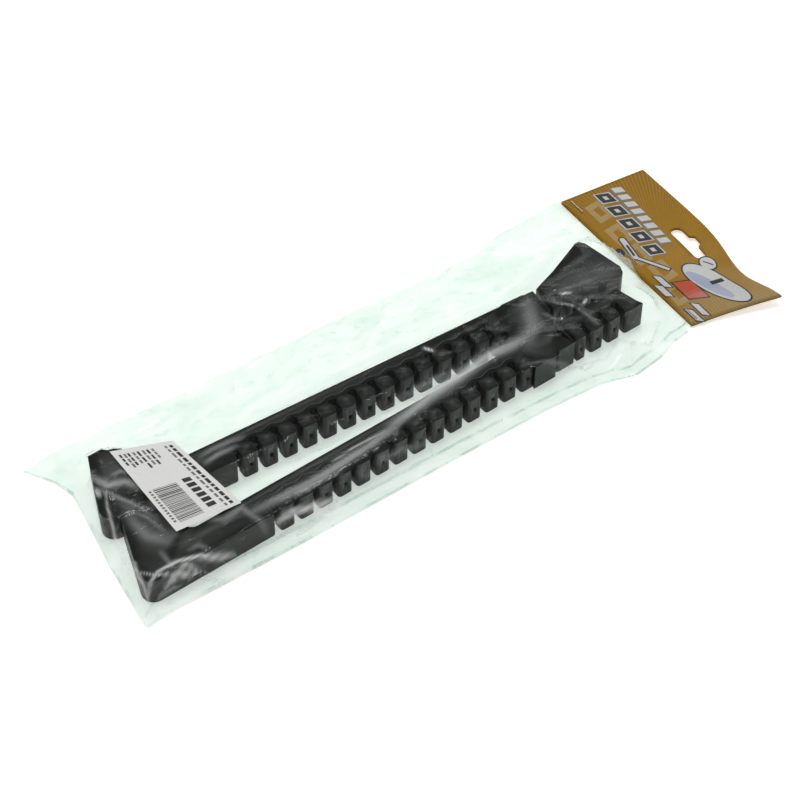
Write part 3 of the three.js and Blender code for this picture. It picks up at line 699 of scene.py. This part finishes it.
def hangSlotLoop(mirror):
    middle = slotMiddle()
    half, reach = card["slotWidth"] / 2, (card["slotLength"] - card["slotWidth"]) / 2
    bump = card["bumpWidth"] / 2
    loop = [(half * math.cos(a), -reach + half * math.sin(a)) for a in np.linspace(math.pi, 2 * math.pi, 13)]
    peak, slope = half + card["bump"], bump - card["bumpSlope"]
    loop += [(half, -bump), (peak, -slope), (peak, slope), (half, bump)]
    loop += [(half * math.cos(a), reach + half * math.sin(a)) for a in np.linspace(0, math.pi, 13)]
    loop = [(middle[0] + a, middle[1] + b) for a, b in loop]
    if mirror:
        loop = [(boardLength() - a, b) for a, b in loop]
    return loop


def followSurface(bm, surface):
    for v in bm.verts:
        v.co = surface(*v.co)
    bm.normal_update()


cardBoard = printedCard(card)
full = boardLength()
bm = flatShapes([([(0, 0), (full, 0), (full, card["long"]), (0, card["long"])],
                  [hangSlotLoop(False), hangSlotLoop(True)], 0.0)])
cutAcross(bm, card["cut"])
for level in [card["depth"] + f * (full - 2 * card["depth"]) for f in (0.0, 0.2, 0.4, 0.6, 0.8, 1.0)]:
    cutAt(bm, (level, 0, 0), (1, 0, 0))
faceUp(bm)
followSurface(bm, onCard)
headerCard = meshPiece("folded_card", bm, cardBoard, "header", smooth=50)
wall = headerCard.modifiers.new("board", "SOLIDIFY")
wall.thickness = card["board"] * mm
wall.offset = 0.0
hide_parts("header_card")


def bagMouth():
    middle, room = slotMiddle(), mouth["slotRoom"]
    slot = [(a + math.copysign(room, a - middle[0]), b + math.copysign(room, b - middle[1]))
            for a, b in hangSlotLoop(False)]
    front, back = mouth["front"], [card["long"] + past for past in mouth["back"]]
    outline = [(mouth["inner"], front[0]), (mouth["outer"], front[1]), (mouth["outer"], back[1]),
               (mouth["inner"], back[0])]
    bm = flatShapes([(outline, [slot], 0.0)])
    cutAcross(bm, card["cut"])
    faceUp(bm)
    drop = card["topZ"] - bag["mouthHeight"]
    followSurface(bm, lambda u, v, lift: onCard(u, v, -drop))
    piece = meshPiece("film_mouth", bm, film, "header", smooth=60)
    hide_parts("bag_mouth")


bagMouth()


def block(a, b, wide, high, slant=0.0, grow=0.0):
    # a slanted block about a point given as shares of the card: a outwards from the inner edge, b forwards
    # from the back edge
    u, v = a * card["depth"], (1 - b) * card["long"]
    w, h = wide / 2 + grow, high / 2 + grow
    return [(u - h, v + w - slant), (u - h, v - w - slant), (u + h, v - w + slant), (u + h, v + w + slant)]


def oval(a, b, reachU, reachV, turn=0.0, sides=40, grow=0.0):
    u, v = a * card["depth"], (1 - b) * card["long"]
    c, s = math.cos(turn), math.sin(turn)
    points = []
    for k in range(sides):
        p = (reachU + grow) * math.cos(2 * math.pi * k / sides)
        q = (reachV + grow) * math.sin(2 * math.pi * k / sides)
        points.append((u + p * c - q * s, v + p * s + q * c))
    return points


def bar(a0, b0, a1, b1, wide, grow=0.0):
    p = np.array([a0 * card["depth"], (1 - b0) * card["long"]])
    q = np.array([a1 * card["depth"], (1 - b1) * card["long"]])
    d = (q - p) / np.hypot(*(q - p))
    n = np.array([-d[1], d[0]]) * (wide / 2 + grow)
    e = d * grow
    return [tuple(p - e + n), tuple(p - e - n), tuple(q + e - n), tuple(q + e + n)]


inks = {
    "tan": printingInk("inkTan", "#ac8b4e", "#b99a5e", 0.35),
    "grey": printingInk("inkGrey", "#77746c", "#868379", 0.4),
    "white": printingInk("inkWhite", "#cfcfcc", "#dddddb", 0.35),
    "black": printingInk("inkBlack", "#232220", "#2f2e2b", 0.4),
    "lilac": printingInk("inkLilac", "#a9aec8", "#b7bbd2", 0.35),
    "red": printingInk("inkRed", "#c04a2a", "#cd5735", 0.35),
}
# height of each ink above the board, in mm, in the order that they lie on each other
layer = {"tan": 0.03, "grey": 0.07, "black": 0.11, "white": 0.15, "lilac": 0.19, "red": 0.19,
         "blackTop": 0.23}
prints = {name: [] for name in layer}
for a, b in ((0.24, 0.15), (0.20, 0.33), (0.17, 0.49), (0.23, 0.64), (0.15, 0.80)):   # pale blocks behind
    prints["tan"].append((block(a, b, 17, 12, 1.0), [block(a, b, 8, 4.5, 0.5)], 0))
for k in range(8):   # a row of slanted white blocks
    b = 0.065 + 0.0575 * k
    a = 0.597 - 0.011 * k
    prints["grey"].append((block(a - 0.012, b + 0.004, 5.4, 7.0, -1.0, 0.45), [], 0))
    prints["white"].append((block(a, b, 5.0, 6.2, -1.0), [], 0))
for k in range(5):   # a row of larger black blocks with a pale outline
    b = 0.085 + 0.103 * k
    a = 0.415 - 0.018 * k
    prints["grey"].append((block(a, b, 9.4, 9.0, -1.3, 1.0), [], 0.005))
    prints["white"].append((block(a, b, 9.4, 9.0, -1.3, 0.55), [], -0.03))
    prints["blackTop"].append((block(a, b, 9.0, 8.4, -1.3), [block(a, b, 3.6, 2.6, -0.4)], -0.04))
prints["black"].append((oval(0.045, 0.435, 2.6, 3.6), [], 0))
for grow, name in ((0.9, "black"), (0.0, "white")):
    prints[name] += [(bar(0.172, 0.375, 0.125, 0.502, 3.4, grow), [], 0),
                     (bar(0.125, 0.502, 0.30, 0.648, 1.9, grow), [], 0.002),
                     (oval(0.172, 0.37, 1.7, 1.7, grow=grow), [], 0.004),
                     (oval(0.127, 0.504, 1.5, 1.5, grow=grow), [], 0.006)]
prints["blackTop"].append((bar(0.16, 0.41, 0.13, 0.49, 1.4), [], 0))
# a plain emblem: an oval, a ball and bands
prints["black"] += [(oval(0.58, 0.815, 10.0, 21.5, 0.35, grow=1.1), [], 0),
                    (oval(0.715, 0.69, 5.2, 5.2, grow=1.0), [], 0.004),
                    (block(0.29, 0.805, 16, 11, -1.8, 1.0), [], 0.006)]
prints["white"] += [(oval(0.58, 0.815, 10.0, 21.5, 0.35), [], 0), (oval(0.715, 0.69, 5.2, 5.2), [], 0.004)]
prints["lilac"] += [(oval(0.51, 0.815, 4.6, 16.0, 0.35), [], 0)]
prints["red"] += [(block(0.29, 0.805, 16, 11, -1.8), [], 0)]
prints["blackTop"] += [(block(0.62, 0.81, 3.0, 10.0, 0.0), [], 0),
                       (bar(0.68, 0.67, 0.755, 0.71, 0.9), [], 0.004)]
for a, b in ((0.06, 0.755), (0.13, 0.70), (0.20, 0.935), (0.10, 0.955)):
    prints["black"].append((block(a, b, 11.0, 3.4, -1.4, 0.8), [], 0.008))
    prints["white"].append((block(a, b, 11.0, 3.4, -1.4), [], 0.008))


def printOn(name, shapes, ink, surface, base, cut, body):
    bm = flatShapes([(outer, holes, base + extra) for outer, holes, extra in shapes])
    cutAcross(bm, cut)
    bm.normal_update()
    faceUp(bm)
    followSurface(bm, surface)
    meshPiece(name, bm, ink, body)


for name, shapes in prints.items():
    ink = inks["black" if name == "blackTop" else name]
    base = card["board"] / 2 + layer[name]
    printOn("card_print_" + name, shapes, ink, onCard, base, card["cut"], "header")
steelWire = stapleSteel()
for k in (1, 2, 3):
    wire = nodes[f"staple_{k}"]
    wire.data.materials.clear()
    wire.data.materials.append(steelWire)
print("card printed")


label = {"lift": 0.62, "cut": 0.06, "wave": 0.125, "waveTurn": 5.2, "waveLean": 2.0, "ink": 0.05}


def onLabel(a, b, lift):
    # a across the short side, b along the long side, each 0 to 1
    c = [np.array(p) for p in labelCorners]
    x, y = (1 - a) * (1 - b) * c[0] + a * (1 - b) * c[1] + a * b * c[2] + (1 - a) * b * c[3]
    wave = label["wave"] * math.sin(label["waveTurn"] * b + label["waveLean"] * a)
    z = bag["labelHeight"] + label["lift"] + wave + lift
    return x * mm, y * mm, z * mm


def labelBox(a0, b0, a1, b1):
    return [(a0, b0), (a1, b0), (a1, b1), (a0, b1)]


paper = labelPaper()
bm = flatShapes([(labelBox(0, 0, 1, 1), [], 0.0)])
cutAcross(bm, label["cut"])
followSurface(bm, onLabel)
faceUp(bm)
sticker = meshPiece("paper_label", bm, paper, "pack", smooth=40)
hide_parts("label")
darkLines, paleLines = [], []
position = 0.06
words = np.random.default_rng(3)
while position < 0.95:   # a line of words beside the long edge
    long = words.uniform(0.03, 0.085)
    darkLines.append((labelBox(0.875, position, 0.925, min(position + long, 0.96)), [], 0))
    paleLines.append((labelBox(0.80, position, 0.835, min(position + long * 0.9, 0.96)), [], 0))
    position += long + 0.015
for k in range(6):       # six large marks
    darkLines.append((labelBox(0.60, 0.50 + 0.07 * k, 0.73, 0.55 + 0.07 * k), [], 0))
for a, long, dark in ((0.08, 0.15, True), (0.15, 0.19, False), (0.21, 0.17, True), (0.29, 0.16, False),
                      (0.36, 0.24, True), (0.44, 0.21, False), (0.51, 0.22, True), (0.59, 0.14, False)):
    for k in range(3):   # short lines of words in the corner
        box = labelBox(a, 0.06 + long * k / 3, a + 0.035, 0.06 + long * (k + 0.8) / 3)
        (darkLines if dark else paleLines).append((box, [], 0))
position = 0.52
while position < 0.93:   # bars of random widths
    wide = words.choice([0.004, 0.007, 0.011])
    darkLines.append((labelBox(0.13, position, 0.50, position + wide), [], 0))
    position += wide + words.choice([0.005, 0.009])
for k in range(12):
    paleLines.append((labelBox(0.06, 0.53 + 0.033 * k, 0.10, 0.55 + 0.033 * k), [], 0))
for name, lines, ink in (("label_print_dark", darkLines, "black"), ("label_print_pale", paleLines, "grey")):
    bm = flatShapes([(outer, holes, label["ink"] + extra) for outer, holes, extra in lines])
    cutAcross(bm, label["cut"])
    followSurface(bm, onLabel)
    faceUp(bm)
    meshPiece(name, bm, inks[ink], "pack")
print("label printed")


studio = {
    "overhead": 12.2, "left": 3.4, "right": 2.6, "behind": 4.0, "sky": 0.13,
    "floor": "#f4f5f4", "glow": 0.56, "floorHalf": 6.0, "floorBelow": 0.0002,
}


def paleFloor():
    material, tree, out = newMaterial("paintedBoardPale")
    matt = addNode(tree, "ShaderNodeBsdfDiffuse", {"Color": hexColour(studio["floor"]), "Roughness": 0.5})
    glow = addNode(tree, "ShaderNodeEmission", {"Color": (1, 1, 1, 1), "Strength": studio["glow"]})
    both = addNode(tree, "ShaderNodeAddShader", links={0: matt.outputs["BSDF"], 1: glow.outputs["Emission"]})
    tree.links.new(both.outputs["Shader"], out.inputs["Surface"])
    bm = bmesh.new()
    bmesh.ops.create_grid(bm, x_segments=1, y_segments=1, size=studio["floorHalf"])
    mesh = bpy.data.meshes.new("floor")
    bm.to_mesh(mesh)
    bm.free()
    mesh.materials.append(material)
    floor = bpy.data.objects.new("floor", mesh)
    scene.collection.objects.link(floor)
    floor.location.z = -studio["floorBelow"]


def softBox(name, power, place, aim, size):
    light = bpy.data.lights.new(name, "AREA")
    light.shape = "RECTANGLE"
    light.size, light.size_y = size
    light.energy = power
    lamp = bpy.data.objects.new(name, light)
    scene.collection.objects.link(lamp)
    lamp.location = place
    lamp.rotation_euler = (Vector(aim) - Vector(place)).to_track_quat("-Z", "Y").to_euler()


paleFloor()
softBox("overhead", studio["overhead"], (0.0, 0.25, 1.6), (0, 0, 0), (1.3, 0.4))
softBox("left", studio["left"], (-1.3, 0.5, 0.7), (0, 0, 0), (0.5, 1.1))
softBox("right", studio["right"], (1.2, -0.9, 0.9), (0, 0, 0), (0.6, 1.0))
softBox("behind", studio["behind"], (0.75, 1.15, 0.85), (0, 0, 0), (1.4, 0.5))
world = bpy.data.worlds.new("studio")
world.use_nodes = True
world.node_tree.nodes["Background"].inputs["Color"].default_value = (0.99, 1.0, 0.99, 1.0)
world.node_tree.nodes["Background"].inputs["Strength"].default_value = studio["sky"]
scene.world = world
scene.view_settings.view_transform = "Standard"

view = {"place": (-0.53365, -0.7512, 1.0415), "aim": (-0.01435, -0.0095, 0.0), "lens": 105.75}
cameraData = bpy.data.cameras.new("camera")
cameraData.lens = view["lens"]
cameraData.sensor_width = 36.0
camera = bpy.data.objects.new("camera", cameraData)
scene.collection.objects.link(camera)
camera.location = view["place"]
camera.rotation_euler = (Vector(view["aim"]) - Vector(view["place"])).to_track_quat("-Z", "Y").to_euler()
scene.camera = camera

print("stage set")
